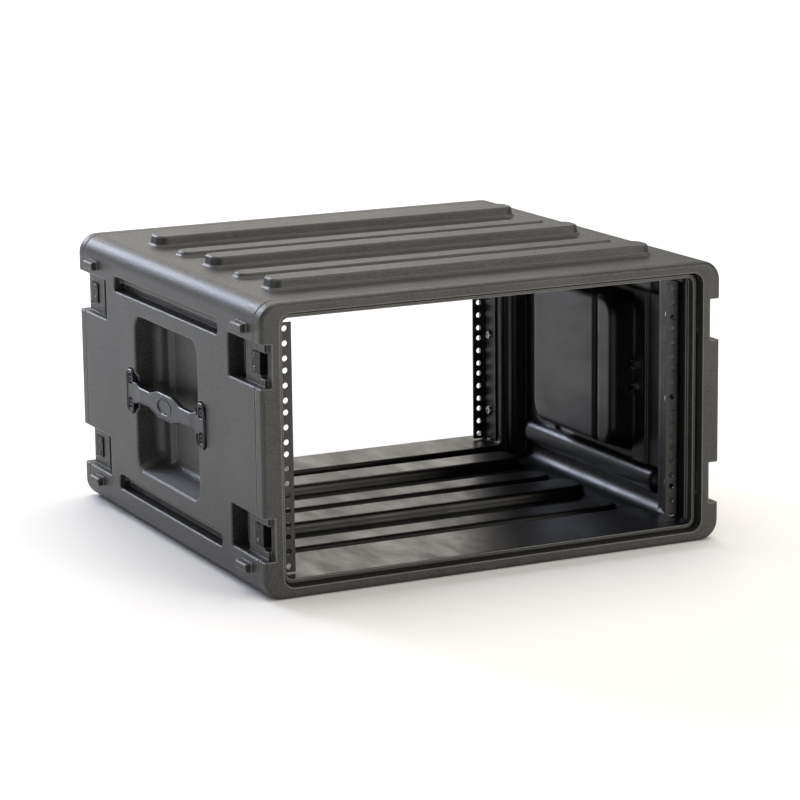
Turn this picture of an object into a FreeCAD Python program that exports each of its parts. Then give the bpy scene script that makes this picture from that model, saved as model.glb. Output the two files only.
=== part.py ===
import FreeCAD, Part
import math
import os

from FreeCAD import Vector

# Six-unit roto-moulded equipment rack case, open at the front and the back, lids off.
# Millimetres. X is the width, the front opening faces -Y, +Z is up.
# The origin is the centre of the footprint, on the surface the case stands on.

# ---------------------------------------------------------------- rack standard
UNITS = 6
UNIT_HEIGHT = 44.45
HOLE_STEPS = (6.35, 22.225, 38.1)        # hole centres above the bottom of each unit
HOLE_COLUMN_HALF = 232.55                # hole column to the middle of the rack
RACK_CLEAR_HALF = 225.0                  # inner edge of a rail flange
RAIL_HOLE_DIAMETER = 6.4                 # clearance for M6 panel screws

# ---------------------------------------------------------------- shell
BODY_WIDTH = 548.0
BODY_HEIGHT = 313.0
RAIL_TO_RAIL = 464.5                     # front flange face to rear flange face
RAIL_SETBACK = 32.0                      # end face of the shell to a flange face
WALL = 6.0
BODY_CORNER = 22.0
END_EDGE = 4.5                           # round on the edge of each end face

OPENING_WIDTH = 484.0
RACK_HEADROOM = 8.8                      # free height above the rails
RAIL_FOOT_GAP = 1.5                      # rail end to the floor of the opening
OPENING_CORNER = 8.0
MOUTH_STEP = 3.5                         # how much wider the opening is, each side, at its mouth
MOUTH_STEP_DEPTH = 20.0                  # end face of the shell to the step
COLLAR_DEPTH = 76.0                      # length of the thick ring at each end
COLLAR_EDGE = 8.0                        # round where a collar meets the space behind it

LIP_SIDE = 22.0                          # width of the end face beside the opening
LIP_TOP = 11.5                           # width of the end face above and below it
LIP_CORNER = 13.0
SEAL_SLOT = 3.0                          # width of the seal slot
INNER_LIP_SETBACK = 10.0
SEAL_SLOT_DEPTH = 16.0
SEAL_HEIGHT = 3.6
SEAL_GAP = 0.25

BEND_GROOVE_SETBACK = 17.0               # ring groove that lets the lid edge bend
BEND_GROOVE_WIDTH = 2.4
BEND_GROOVE_DEPTH = 2.2

# ---------------------------------------------------------------- stacking ribs
RIB_PITCH = 80.0
RIB_COUNT = 5
RIB_PATTERN_FORWARD = 18.25              # pattern centre, ahead of the case centre
RIB_LENGTH = 458.0
RIB_DRAFT = 2.0
RIB_CORNER = 11.0
RIB_EDGE = 1.6
RIB_FOOT = 1.8                           # flare where a rib grows out of the top
TALL_RIB_WIDTH = 36.0
TALL_RIB_HEIGHT = 11.5
LOW_RIB_WIDTH = 28.0
LOW_RIB_HEIGHT = 5.0
STACK_CLEARANCE = 1.5

# ---------------------------------------------------------------- side slots
SLOT_LENGTH = 303.0
SLOT_HEIGHT = 17.0
SLOT_OFFSET = 115.0                      # slot centre to the middle of the side
SLOT_CORNER = 7.0
SLOT_SHELF_DEPTH = 8.0
SLOT_DEPTH = 14.0
SLOT_CHANNEL_HEIGHT = 9.5                # deep lower part of the slot
OPENING_FLARE = 1.2                      # bevel round every moulded recess

# ---------------------------------------------------------------- handle pocket
POCKET_LENGTH = 184.0
POCKET_HEIGHT = 178.0
POCKET_CORNER = 18.0
POCKET_DEPTH = 31.0
POCKET_FLOOR_RISE = 12.0
POCKET_ROOF_FALL = 4.0
POCKET_END_DRAFT = 3.0
POCKET_BACK_ROUND = 12.0                 # round between the pocket's back and its walls
POCKET_WALL = 5.0
POCKET_BACK_WALL = 8.5
POCKET_INNER_ROUND = 7.0                 # round on the inside of the pocket's wall
SLOT_BACK_ROUND = 11.0                   # round on the inside of a side slot's wall
RIDGE_ROUND = 5.0                        # round on the floor ridges
POCKET_RIB_OFFSET = 57.0
POCKET_RIB_WIDTH = 16.0
POCKET_RIB_HEIGHT = 4.5

# ---------------------------------------------------------------- strap handle
HANDLE_THICKNESS = 6.5
HANDLE_PROUD = 2.5                       # how far the strap stands off the side
GRIP_HALF_WIDTH = 15.0
NECK_HALF_WIDTH = 9.0
ROOT_HALF_WIDTH = 13.0
GRIP_FULL_HALF_LENGTH = 22.0             # half length of the full-width grip
GRIP_HALF_LENGTH = 49.0                  # strap centre to the grip's parting plane
GRIP_PARTING = 0.5
GRIP_TAPER = 1.0                         # how much the grip narrows towards its ends
NECK_RUN_IN = 6.0                        # length over which the grip turns into the neck
NECK_RUN_IN_EASE = 1.2                   # extra half width there
NECK_RUN_OUT = 22.0                      # parting plane to where the root begins to flare
NECK_RUN_OUT_EASE = 0.8                  # extra half width there
OUTLINE_POINTS = 9                       # points along one part of the strap's outline
PLATE_WIDTH = 21.0
PLATE_HEIGHT = 50.0
PLATE_CORNER = 8.0
PLATE_CENTRE = 103.5
PLATE_SEAT_CLEARANCE = 1.3
HANDLE_SCREW_SPACING = 27.5
HANDLE_PAD_THICKNESS = 5.5               # thicker wall behind the end plates
HANDLE_PAD_MARGIN = 6.0

# ---------------------------------------------------------------- latch recesses
LATCH_OFFSET = 91.5                      # recess centre to the middle of the side
LATCH_HEIGHT = 46.0
LATCH_LENGTH = 87.0
LATCH_MOUTH_LENGTH = 11.0
LATCH_MOUTH_DEPTH = 13.0
LATCH_POST_DEPTH = 9.0
LATCH_POST_END = 58.0
LATCH_POCKET_DEPTH = 20.0
LATCH_CORNER = 3.0
HOOK_SLOT_LENGTH = 10.0
HOOK_SLOT_HEIGHT = 28.0
HOOK_SLOT_DEPTH = 24.0
HOOK_SLOT_DROP = 1.0
KEEPER_LENGTH = 19.0
KEEPER_HEIGHT = 23.0
KEEPER_RIVET_INSET = 12.0                # edge of the hook slot to the rivets
KEEPER_THICKNESS = 1.5
KEEPER_LEG = 10.0
KEEPER_LEG_GAP = 0.3
RIVET_DIAMETER = 3.0
RIVET_HEAD = 5.6
RIVET_HEAD_HEIGHT = 1.4
RIVET_LENGTH = 9.0
RIVET_SPACING = 14.0

LUG_LENGTH = 25.0
LUG_HEIGHT = 10.5
LUG_PROUD = 7.5
LUG_OFFSET = 127.25                      # lug centre to the middle of the side
LUG_SETBACK = 47.5                       # lug centre to the end face
LUG_SLOPE = 2.5
LUG_EDGE = 1.5

# ---------------------------------------------------------------- rails
RAIL_THICKNESS = 2.0
RAIL_SIDE_FLANGE = 32.0
RAIL_BEND_INSIDE = 1.0
RAIL_WALL_GAP = 0.3
RAIL_SCREW_INSET = 18.0                  # flange face to the mounting screws
RAIL_SCREW_HEIGHTS = (38.0, 133.35, 228.7)   # above the foot of the rail

# ---------------------------------------------------------------- fasteners
SCREW_DIAMETER = 5.9
SCREW_CLEARANCE_HOLE = 6.6
RAIL_SCREW_LENGTH = 14.0
PAN_HEAD = 11.0
PAN_HEAD_HEIGHT = 3.8
RECESS_WIDTH = 1.3                       # cross recess in a screw head
RECESS_LENGTH = 5.0
RECESS_DEPTH = 1.8
INSERT_DIAMETER = 9.0
INSERT_BORE = 6.0
INSERT_LENGTH = 12.0
INSERT_GAP = 0.05
COUNTERBORE = 8.6
COUNTERBORE_DEPTH = 4.0
HANDLE_HEAD = 8.0
HANDLE_HEAD_HEIGHT = 3.2
BACKING_THICKNESS = 2.0
BACKING_WIDTH = 20.0
BACKING_HEIGHT = 50.0
BACKING_CORNER = 4.0
BACKING_GAP = 0.4                        # pocket wall to the backing plate
WASHER_DIAMETER = 12.0
WASHER_THICKNESS = 1.6
NUT_ACROSS_FLATS = 10.0
NUT_HEIGHT = 4.5
THREAD_PROUD = 1.5                       # screw end past its nut

# ---------------------------------------------------------------- derived places
DEPTH = RAIL_TO_RAIL + 2 * RAIL_SETBACK
SIDE = BODY_WIDTH / 2
MIDDLE = BODY_HEIGHT / 2
END = DEPTH / 2
RACK_HEIGHT = UNITS * UNIT_HEIGHT
OPENING_HEIGHT = RACK_HEIGHT + RAIL_FOOT_GAP + RACK_HEADROOM
OPENING_BOTTOM = MIDDLE - OPENING_HEIGHT / 2
RAIL_BOTTOM = OPENING_BOTTOM + RAIL_FOOT_GAP
RAIL_OUTSIDE = OPENING_WIDTH / 2 - RAIL_WALL_GAP
SLOT_REACH = 4.0                         # how far a cutting body runs past a face
HANDLE_OUTSIDE = SIDE + HANDLE_PROUD
HANDLE_SEAT = HANDLE_OUTSIDE - HANDLE_THICKNESS
PLATE_INNER_EDGE = PLATE_CENTRE - PLATE_WIDTH / 2
INNER_SIDE = SIDE - WALL
HANDLE_PAD_FACE = HANDLE_SEAT - HANDLE_PAD_THICKNESS
POCKET_BACK = SIDE - POCKET_DEPTH


def point(axis, along, first, second):
    """A point at a place along one axis, with its other two coordinates in X, Y, Z order."""
    if axis == "x":
        return Vector(along, first, second)
    if axis == "y":
        return Vector(first, along, second)
    return Vector(first, second, along)


def outline(axis, along, centre, size, radius):
    """A rectangle with round corners, square to an axis."""
    half_a = size[0] / 2
    half_b = size[1] / 2
    edges = []
    corners = ((1, 1, 0), (-1, 1, 90), (-1, -1, 180), (1, -1, 270))
    arcs = []
    for sign_a, sign_b, start in corners:
        arc_a = centre[0] + sign_a * (half_a - radius)
        arc_b = centre[1] + sign_b * (half_b - radius)
        arc_points = []
        for step in (0, 45, 90):
            angle = math.radians(start + step)
            at_a = arc_a + radius * math.cos(angle)
            at_b = arc_b + radius * math.sin(angle)
            arc_points.append(point(axis, along, at_a, at_b))
        arcs.append(arc_points)
    for index, arc_points in enumerate(arcs):
        following = arcs[(index + 1) % len(arcs)]
        edges.append(Part.Arc(*arc_points).toShape())
        edges.append(Part.LineSegment(arc_points[2], following[0]).toShape())
    return Part.Wire(edges)


def prism(axis, span, centre, size, radius):
    """A straight bar of rounded rectangular section between two places along an axis."""
    face = Part.Face(outline(axis, span[0], centre, size, radius))
    return face.extrude(point(axis, span[1] - span[0], 0, 0))


def taper(axis, span, centre, sizes, radii):
    """A bar whose rounded section changes evenly from one end to the other."""
    first = outline(axis, span[0], centre, sizes[0], radii[0])
    second = outline(axis, span[1], centre, sizes[1], radii[1])
    return Part.makeLoft([first, second], True, True)


def grown(size, margin):
    """A width and height, larger by a margin on every side."""
    return (size[0] + 2 * margin, size[1] + 2 * margin)


def block(x_span, y_span, z_span):
    """A plain box between three pairs of coordinates, in any order."""
    low = Vector(min(x_span), min(y_span), min(z_span))
    high = Vector(max(x_span), max(y_span), max(z_span))
    size = high - low
    return Part.makeBox(size.x, size.y, size.z, low)


def polygon_bar(axis, span, corners):
    """A straight bar with the section given by corner points."""
    points = [point(axis, span[0], a, b) for a, b in corners]
    points.append(points[0])
    return Part.Face(Part.makePolygon(points)).extrude(point(axis, span[1] - span[0], 0, 0))


def pin(diameter, start, direction, length):
    """A round bar from a start point."""
    return Part.makeCylinder(diameter / 2, length, start, direction)


def fuse(shapes):
    """All the shapes as one solid."""
    joined = shapes[0].multiFuse(shapes[1:]) if len(shapes) > 1 else shapes[0]
    return joined.removeSplitter()


def mirrored(shape, side_x=1, side_y=1):
    """The shape turned into its twin on the other side or the other end."""
    twin = shape
    if side_x < 0:
        twin = twin.mirror(Vector(), Vector(1, 0, 0))
    if side_y < 0:
        twin = twin.mirror(Vector(), Vector(0, 1, 0))
    return twin


def four_quarters(shape):
    """The shape and its twins at both sides and both ends."""
    return [mirrored(shape, side_x, side_y) for side_x in (1, -1) for side_y in (1, -1)]


def both_sides(shape):
    """The shape and its twin on the other side."""
    return [shape, mirrored(shape, side_x=-1)]


def both_turned(shape):
    """The shape and its twin half a turn round the upright axis."""
    return [shape, mirrored(shape, side_x=-1, side_y=-1)]


# ---------------------------------------------------------------- shell
def rib_rows():
    """The place and size of every stacking rib: tall and low ribs take turns."""
    first = -RIB_PATTERN_FORWARD - RIB_PITCH * (RIB_COUNT - 1) / 2
    rows = []
    for index in range(RIB_COUNT):
        tall = index % 2 == 0
        width = TALL_RIB_WIDTH if tall else LOW_RIB_WIDTH
        height = TALL_RIB_HEIGHT if tall else LOW_RIB_HEIGHT
        rows.append((first + index * RIB_PITCH, width, height))
    return rows


def rib(centre_y, width, height, margin=0.0, bottom=BODY_HEIGHT, edge=RIB_EDGE):
    """A stacking rib with sloped sides and a bevelled top edge, larger by a margin."""
    base = grown((RIB_LENGTH, width), margin)
    shoulder = grown(base, -RIB_DRAFT * (height - edge) / TALL_RIB_HEIGHT)
    crest = grown(shoulder, -edge)
    radius = RIB_CORNER + margin
    centre = (0, centre_y)
    top = bottom + height
    body = taper("z", (bottom - WALL / 2, top - edge), centre, (base, shoulder), (radius, radius))
    cap = taper("z", (top - edge, top), centre, (shoulder, crest), (radius, radius - edge))
    foot_size = grown(base, RIB_FOOT)
    foot = taper("z", (bottom - 0.01, bottom + RIB_FOOT), centre, (foot_size, base),
                 (radius + RIB_FOOT, radius))
    return body.fuse([cap, foot])


def outer_body():
    """The outside of the shell without its recesses."""
    body = prism("y", (-END, END), (0, MIDDLE), (BODY_WIDTH, BODY_HEIGHT), BODY_CORNER)
    rims = [edge for edge in body.Edges
            if all(abs(abs(vertex.Y) - END) < 0.01 for vertex in edge.Vertexes)]
    return body.makeFillet(END_EDGE, rims)


def slot_sections():
    """Heights of the slots' shelf and channel about a slot's own centre."""
    channel_centre = -(SLOT_HEIGHT - SLOT_CHANNEL_HEIGHT) / 2
    return channel_centre


def side_slot(centre_z):
    """One long slot in the right side: a shallow shelf over a deeper channel."""
    size = (SLOT_LENGTH, SLOT_HEIGHT)
    shelf = prism("x", (SIDE - SLOT_SHELF_DEPTH, SIDE + SLOT_REACH), (0, centre_z), size, SLOT_CORNER)
    channel_size = (SLOT_LENGTH, SLOT_CHANNEL_HEIGHT)
    channel_z = centre_z + slot_sections()
    channel_radius = SLOT_CHANNEL_HEIGHT / 2 - 1
    channel = prism("x", (SIDE - SLOT_DEPTH, SIDE), (0, channel_z), channel_size, channel_radius)
    bevel = flare(size, SLOT_CORNER, (0, centre_z))
    return [shelf, channel, bevel]


def side_slot_backing(centre_z):
    """The wall that carries a side slot into the inside, with a rounded face."""
    size = grown((SLOT_LENGTH, SLOT_HEIGHT), WALL)
    face = SIDE - SLOT_DEPTH - WALL
    ridge = prism("x", (face, SIDE), (0, centre_z), size, SLOT_CORNER + WALL)
    rim = [edge for edge in ridge.Edges if edge.BoundBox.XMax < face + 1]
    return ridge.makeFillet(SLOT_BACK_ROUND, rim)


def flare(size, radius, centre):
    """The bevel round the mouth of a recess in the right side."""
    mouth = grown(size, OPENING_FLARE)
    span = (SIDE - OPENING_FLARE, SIDE)
    bevel = taper("x", span, centre, (size, mouth), (radius, radius + OPENING_FLARE))
    clear = prism("x", (SIDE, SIDE + SLOT_REACH), centre, mouth, radius + OPENING_FLARE)
    return bevel.fuse(clear)


def pocket_core(margin, back, back_round):
    """The handle pocket before its rib, larger by a margin, with a rounded back at a given X."""
    mouth_size = grown((POCKET_LENGTH, POCKET_HEIGHT), margin)
    back_length = mouth_size[0] - 2 * POCKET_END_DRAFT
    back_height = mouth_size[1] - POCKET_FLOOR_RISE - POCKET_ROOF_FALL
    back_centre = (0, MIDDLE + (POCKET_FLOOR_RISE - POCKET_ROOF_FALL) / 2)
    radius = POCKET_CORNER + margin
    first = outline("x", back, back_centre, (back_length, back_height), radius)
    second = outline("x", SIDE, (0, MIDDLE), mouth_size, radius)
    core = Part.makeLoft([first, second], True, True)
    rim = [edge for edge in core.Edges if edge.BoundBox.XMax < back + 1]
    core = core.makeFillet(back_round, rim)
    return core.fuse(prism("x", (SIDE, SIDE + SLOT_REACH), (0, MIDDLE), mouth_size, radius))


def rib_radius():
    """Radius of the pocket rib from its chord and its height."""
    half_chord = POCKET_RIB_WIDTH / 2
    return (half_chord ** 2 + POCKET_RIB_HEIGHT ** 2) / (2 * POCKET_RIB_HEIGHT)


def pocket_rib(radius, face_x):
    """The upright rib of round section that stands out to a face near the pocket's front end."""
    low = MIDDLE - POCKET_HEIGHT / 2 - POCKET_WALL
    start = Vector(face_x - radius, -POCKET_RIB_OFFSET, low)
    return pin(2 * radius, start, Vector(0, 0, 1), POCKET_HEIGHT + 2 * POCKET_WALL)


def handle_pocket():
    """The open handle pocket in the right side, less its upright rib."""
    rib_face = POCKET_BACK + POCKET_RIB_HEIGHT
    pocket = pocket_core(0, POCKET_BACK, POCKET_BACK_ROUND).cut(pocket_rib(rib_radius(), rib_face))
    return [pocket, flare((POCKET_LENGTH, POCKET_HEIGHT), POCKET_CORNER, (0, MIDDLE))]


def handle_backing():
    """The walls of the right handle pocket and the pads behind the strap's end plates."""
    back = POCKET_BACK - POCKET_BACK_WALL
    bulge = pocket_core(POCKET_WALL, back, POCKET_INNER_ROUND)
    bulge = bulge.cut(pocket_rib(rib_radius() - POCKET_WALL / 2, back + POCKET_RIB_HEIGHT))
    inner_edge = POCKET_LENGTH / 2
    outer_edge = PLATE_CENTRE + PLATE_WIDTH / 2 + HANDLE_PAD_MARGIN
    backs = [bulge]
    for sign in (-1, 1):
        y_span = (sign * inner_edge, sign * outer_edge)
        z_span = (MIDDLE - SLOT_OFFSET, MIDDLE + SLOT_OFFSET)
        backs.append(block((HANDLE_PAD_FACE, SIDE), y_span, z_span))
    return backs


def plate_seats():
    """The shallow seats of the strap's end plates and their screw holes, right side.

    A notch through the pocket's drafted end wall lets the strap's root into each seat.
    """
    size = grown((PLATE_WIDTH, PLATE_HEIGHT), PLATE_SEAT_CLEARANCE)
    radius = PLATE_CORNER + PLATE_SEAT_CLEARANCE
    notch_half = ROOT_HALF_WIDTH + PLATE_SEAT_CLEARANCE
    notch_start = POCKET_LENGTH / 2 - POCKET_END_DRAFT
    x_span = (HANDLE_SEAT, SIDE + SLOT_REACH)
    cuts = []
    for sign in (-1, 1):
        cuts.append(prism("x", x_span, (sign * PLATE_CENTRE, MIDDLE), size, radius))
        y_span = (sign * notch_start, sign * PLATE_CENTRE)
        cuts.append(block(x_span, y_span, (MIDDLE - notch_half, MIDDLE + notch_half)))
    for place in handle_screw_places():
        start = Vector(INNER_SIDE - POCKET_DEPTH, place[0], place[1])
        cuts.append(pin(SCREW_CLEARANCE_HOLE, start, Vector(1, 0, 0), POCKET_DEPTH + WALL))
    return cuts


def handle_screw_places():
    """Y and Z of the four screws of one strap handle."""
    places = []
    for sign_y in (-1, 1):
        for sign_z in (-1, 1):
            places.append((sign_y * PLATE_CENTRE, MIDDLE + sign_z * HANDLE_SCREW_SPACING / 2))
    return places


def latch_centres():
    """Heights of the lower and the upper latch recess."""
    return (MIDDLE - LATCH_OFFSET, MIDDLE + LATCH_OFFSET)


def end_span(start, stop):
    """A stretch measured inwards from the front end face."""
    return (-END + start, -END + stop)


def recess(start, stop, depth, centre_z, height, radius=LATCH_CORNER):
    """A rounded cut into the right side, between two distances from the front end."""
    span_y = end_span(start, stop)
    centre = ((span_y[0] + span_y[1]) / 2, centre_z)
    size = (span_y[1] - span_y[0], height)
    return prism("x", (SIDE - depth, SIDE + LUG_PROUD), centre, size, radius)


def latch_recess(centre_z):
    """One latch recess at the front of the right side, open to the end face."""
    start = -2 * LATCH_CORNER
    mouth = recess(start, LATCH_MOUTH_LENGTH, LATCH_MOUTH_DEPTH, centre_z, LATCH_HEIGHT, 1)
    floor = recess(start, LATCH_LENGTH, LATCH_POST_DEPTH, centre_z, LATCH_HEIGHT)
    pocket = recess(LATCH_POST_END, LATCH_LENGTH, LATCH_POCKET_DEPTH, centre_z, LATCH_HEIGHT)
    slot_end = LATCH_MOUTH_LENGTH + HOOK_SLOT_LENGTH
    slot_z = centre_z - HOOK_SLOT_DROP
    hook = recess(LATCH_MOUTH_LENGTH, slot_end, HOOK_SLOT_DEPTH, slot_z, HOOK_SLOT_HEIGHT, 1)
    edge_y = end_span(start, LATCH_LENGTH)
    size = (edge_y[1] - edge_y[0], LATCH_HEIGHT)
    bevel = flare(size, LATCH_CORNER, ((edge_y[0] + edge_y[1]) / 2, centre_z))
    holes = []
    for sign in (-1, 1):
        holes.append(rivet_hole(centre_z + sign * RIVET_SPACING / 2))
    return [mouth, floor, pocket, hook, bevel] + holes


def keeper_start():
    """Distance from the end face to the keeper's leg."""
    return LATCH_MOUTH_LENGTH + HOOK_SLOT_LENGTH


def rivet_y():
    """Place of the keeper rivets along the case."""
    return -END + keeper_start() + KEEPER_RIVET_INSET


def rivet_hole(centre_z):
    """The hole that a keeper rivet sits in."""
    start = Vector(SIDE - LATCH_POST_DEPTH - RIVET_LENGTH - 1, rivet_y(), centre_z)
    return pin(RIVET_DIAMETER + 2 * INSERT_GAP, start, Vector(1, 0, 0), RIVET_LENGTH + 1)


def latch_backing():
    """The full-height upright behind the deep ends of the front latch recesses, right side."""
    face = SIDE - LATCH_POCKET_DEPTH - WALL
    span_y = end_span(COLLAR_DEPTH - WALL, LATCH_LENGTH + WALL)
    upright = block((face, SIDE), span_y, (0, BODY_HEIGHT))
    edge = [edge for edge in upright.Edges
            if edge.BoundBox.XMax < face + 1 and edge.BoundBox.YMin > span_y[1] - 1]
    return upright.makeFillet(COLLAR_EDGE, edge)


def lug(sign_z):
    """A guard lug beside a latch recess, with a sloped upper face, front right."""
    centre_z = MIDDLE + sign_z * LUG_OFFSET
    low = centre_z - LUG_HEIGHT / 2
    high = centre_z + LUG_HEIGHT / 2
    outside = SIDE + LUG_PROUD
    y_span = end_span(LUG_SETBACK - LUG_LENGTH / 2, LUG_SETBACK + LUG_LENGTH / 2)
    rise = -LUG_SLOPE if sign_z > 0 else 0
    drop = LUG_SLOPE if sign_z < 0 else 0
    corners = ((SIDE - WALL / 2, low), (outside - LUG_EDGE, low), (outside, low + LUG_EDGE + drop / 2),
               (outside, high + rise - drop), (outside - LUG_EDGE, high + rise / 2 - drop / 2),
               (SIDE - WALL / 2, high))
    return polygon_bar("y", y_span, corners)


def ring_cut(span, outer_size, inner_size, outer_radius, inner_radius):
    """A ring between two rounded rectangles round the middle of the end face."""
    outer = prism("y", span, (0, MIDDLE), outer_size, outer_radius)
    return outer.cut(prism("y", span, (0, MIDDLE), inner_size, inner_radius))


def lip_sizes():
    """The outer and the inner outline of the seal slot."""
    outer = (BODY_WIDTH - 2 * LIP_SIDE, BODY_HEIGHT - 2 * LIP_TOP)
    return outer, grown(outer, -SEAL_SLOT)


def rim_cuts():
    """The set-back inner lip, the seal slot and the ring groove of the front end."""
    outer, inner = lip_sizes()
    inner_corner = LIP_CORNER - SEAL_SLOT
    lip = prism("y", end_span(-SLOT_REACH, INNER_LIP_SETBACK), (0, MIDDLE), outer, LIP_CORNER)
    slot = ring_cut(end_span(INNER_LIP_SETBACK, SEAL_SLOT_DEPTH), outer, inner, LIP_CORNER, inner_corner)
    groove_half = BEND_GROOVE_WIDTH / 2
    groove_span = end_span(BEND_GROOVE_SETBACK - groove_half, BEND_GROOVE_SETBACK + groove_half)
    body = (BODY_WIDTH, BODY_HEIGHT)
    groove = ring_cut(groove_span, grown(body, SLOT_REACH), grown(body, -BEND_GROOVE_DEPTH),
                      BODY_CORNER + SLOT_REACH, BODY_CORNER - BEND_GROOVE_DEPTH)
    return [lip, slot, groove]


def stack_grooves():
    """The grooves under the case that sit over the ribs of the case below."""
    cuts = []
    for centre_y, width, height in rib_rows():
        depth = height + STACK_CLEARANCE
        size = grown((RIB_LENGTH, width), STACK_CLEARANCE)
        radius = RIB_CORNER + STACK_CLEARANCE
        inner = grown(size, -RIB_DRAFT)
        cuts.append(taper("z", (-0.01, depth), (0, centre_y), (size, inner), (radius, radius)))
    return cuts


def floor_ridges():
    """The walls over the stacking grooves, standing on the inside of the floor."""
    ridges = []
    for centre_y, width, height in rib_rows():
        size = grown((RIB_LENGTH, width), STACK_CLEARANCE + WALL)
        radius = RIB_CORNER + STACK_CLEARANCE + WALL
        top = height + STACK_CLEARANCE + WALL - 1
        crest = grown(size, -RIB_DRAFT)
        ridge = taper("z", (0, top), (0, centre_y), (size, crest), (radius, radius))
        rim = [edge for edge in ridge.Edges if edge.BoundBox.ZMin > top - 1]
        ridges.append(ridge.makeFillet(RIDGE_ROUND, rim))
    return ridges


def cavity():
    """The space between the two collars, less everything that stands into it."""
    size = (BODY_WIDTH - 2 * WALL, BODY_HEIGHT - 2 * WALL)
    room = prism("y", (-END + COLLAR_DEPTH, END - COLLAR_DEPTH), (0, MIDDLE), size, BODY_CORNER - WALL)
    standing = floor_ridges()
    for shape in handle_backing():
        standing += both_turned(shape)
    for sign in (-1, 1):
        standing += both_sides(side_slot_backing(MIDDLE + sign * SLOT_OFFSET))
    standing += four_quarters(latch_backing())
    room = room.cut(standing)
    hollows = []
    for centre_y, width, height in rib_rows():
        if height > WALL:
            hollows.append(rib(centre_y, width, height, -WALL, BODY_HEIGHT - WALL))
    return room.fuse(hollows)


def collar_openings():
    """The openings through the two collars."""
    size = (OPENING_WIDTH, OPENING_HEIGHT)
    front = prism("y", (-END - 1, -END + COLLAR_DEPTH + 1), (0, MIDDLE), size, OPENING_CORNER)
    mouth_size = (OPENING_WIDTH + 2 * MOUTH_STEP, OPENING_HEIGHT)
    mouth = prism("y", end_span(-SLOT_REACH, MOUTH_STEP_DEPTH), (0, MIDDLE), mouth_size, OPENING_CORNER)
    openings = [front, mouth]
    return openings + [mirrored(shape, side_y=-1) for shape in openings]


def insert_holes():
    """Holes for the threaded inserts behind the front right rail."""
    holes = []
    for place in rail_screw_places():
        start = Vector(OPENING_WIDTH / 2 - 1, place[0], place[1])
        holes.append(pin(INSERT_DIAMETER + 2 * INSERT_GAP, start, Vector(1, 0, 0), RAIL_SCREW_LENGTH + 2))
    return holes


def case_shell():
    """The moulded shell."""
    solids = [outer_body()]
    for centre_y, width, height in rib_rows():
        solids.append(rib(centre_y, width, height))
    for sign in (-1, 1):
        solids += four_quarters(lug(sign))
    shell = fuse(solids)
    shell = shell.cut([cavity()] + collar_openings())
    cuts = list(stack_grooves())
    for shape in rim_cuts():
        cuts += [shape, mirrored(shape, side_y=-1)]
    for shape in handle_pocket() + plate_seats():
        cuts += both_turned(shape)
    for sign in (-1, 1):
        for shape in side_slot(MIDDLE + sign * SLOT_OFFSET):
            cuts += both_sides(shape)
    for centre_z in latch_centres():
        for shape in latch_recess(centre_z):
            cuts += four_quarters(shape)
    for shape in insert_holes():
        cuts += four_quarters(shape)
    return shell.cut(cuts).removeSplitter()


def rim_seal():
    """The rubber seal in the slot of the front end."""
    outer, inner = lip_sizes()
    span = end_span(SEAL_SLOT_DEPTH - SEAL_HEIGHT, SEAL_SLOT_DEPTH)
    return ring_cut(span, grown(outer, -SEAL_GAP), grown(inner, SEAL_GAP),
                    LIP_CORNER - SEAL_GAP, LIP_CORNER - SEAL_SLOT + SEAL_GAP)


# ---------------------------------------------------------------- rails
def rail_face_y():
    """The plane that the front panels bolt against."""
    return -END + RAIL_SETBACK


def rail_screw_places():
    """Y and Z of the screws that hold the front right rail."""
    y = rail_face_y() + RAIL_SCREW_INSET
    return [(y, RAIL_BOTTOM + height) for height in RAIL_SCREW_HEIGHTS]


def rail():
    """The front right rail: an angle with one column of threaded holes."""
    face = rail_face_y()
    inside = RAIL_OUTSIDE - RAIL_THICKNESS
    bend = RAIL_BEND_INSIDE + RAIL_THICKNESS
    top = (RAIL_BOTTOM, RAIL_BOTTOM + RACK_HEIGHT)
    front = block((RACK_CLEAR_HALF, RAIL_OUTSIDE - bend), (face, face + RAIL_THICKNESS), top)
    side = block((inside, RAIL_OUTSIDE), (face + bend, face + RAIL_SIDE_FLANGE), top)
    centre = Vector(RAIL_OUTSIDE - bend, face + bend, RAIL_BOTTOM)
    corner = Part.makeCylinder(bend, RACK_HEIGHT, centre, Vector(0, 0, 1))
    corner = corner.cut(Part.makeCylinder(RAIL_BEND_INSIDE, RACK_HEIGHT, centre, Vector(0, 0, 1)))
    corner = corner.common(block((centre.x, RAIL_OUTSIDE), (face, centre.y), top))
    angle = fuse([front, side, corner])
    holes = []
    for unit in range(UNITS):
        for step in HOLE_STEPS:
            start = Vector(HOLE_COLUMN_HALF, face - 1, RAIL_BOTTOM + unit * UNIT_HEIGHT + step)
            holes.append(pin(RAIL_HOLE_DIAMETER, start, Vector(0, 1, 0), RAIL_THICKNESS + 2))
    for y, z in rail_screw_places():
        start = Vector(inside - 1, y, z)
        holes.append(pin(SCREW_CLEARANCE_HOLE, start, Vector(1, 0, 0), RAIL_THICKNESS + 2))
    opening = grown((OPENING_WIDTH, OPENING_HEIGHT), -RAIL_WALL_GAP)
    room = prism("y", (face, face + RAIL_SIDE_FLANGE), (0, MIDDLE), opening, OPENING_CORNER)
    return angle.common(room).cut(holes)


def cross_recess(centre_y, centre_z, face_x, inward):
    """The cross-shaped driver recess in a screw head that faces along X."""
    x_span = (face_x, face_x + inward * RECESS_DEPTH)
    half_long = RECESS_LENGTH / 2
    half_wide = RECESS_WIDTH / 2
    upright = block(x_span, (centre_y - half_wide, centre_y + half_wide),
                    (centre_z - half_long, centre_z + half_long))
    level = block(x_span, (centre_y - half_long, centre_y + half_long),
                  (centre_z - half_wide, centre_z + half_wide))
    return upright.fuse(level)


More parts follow.
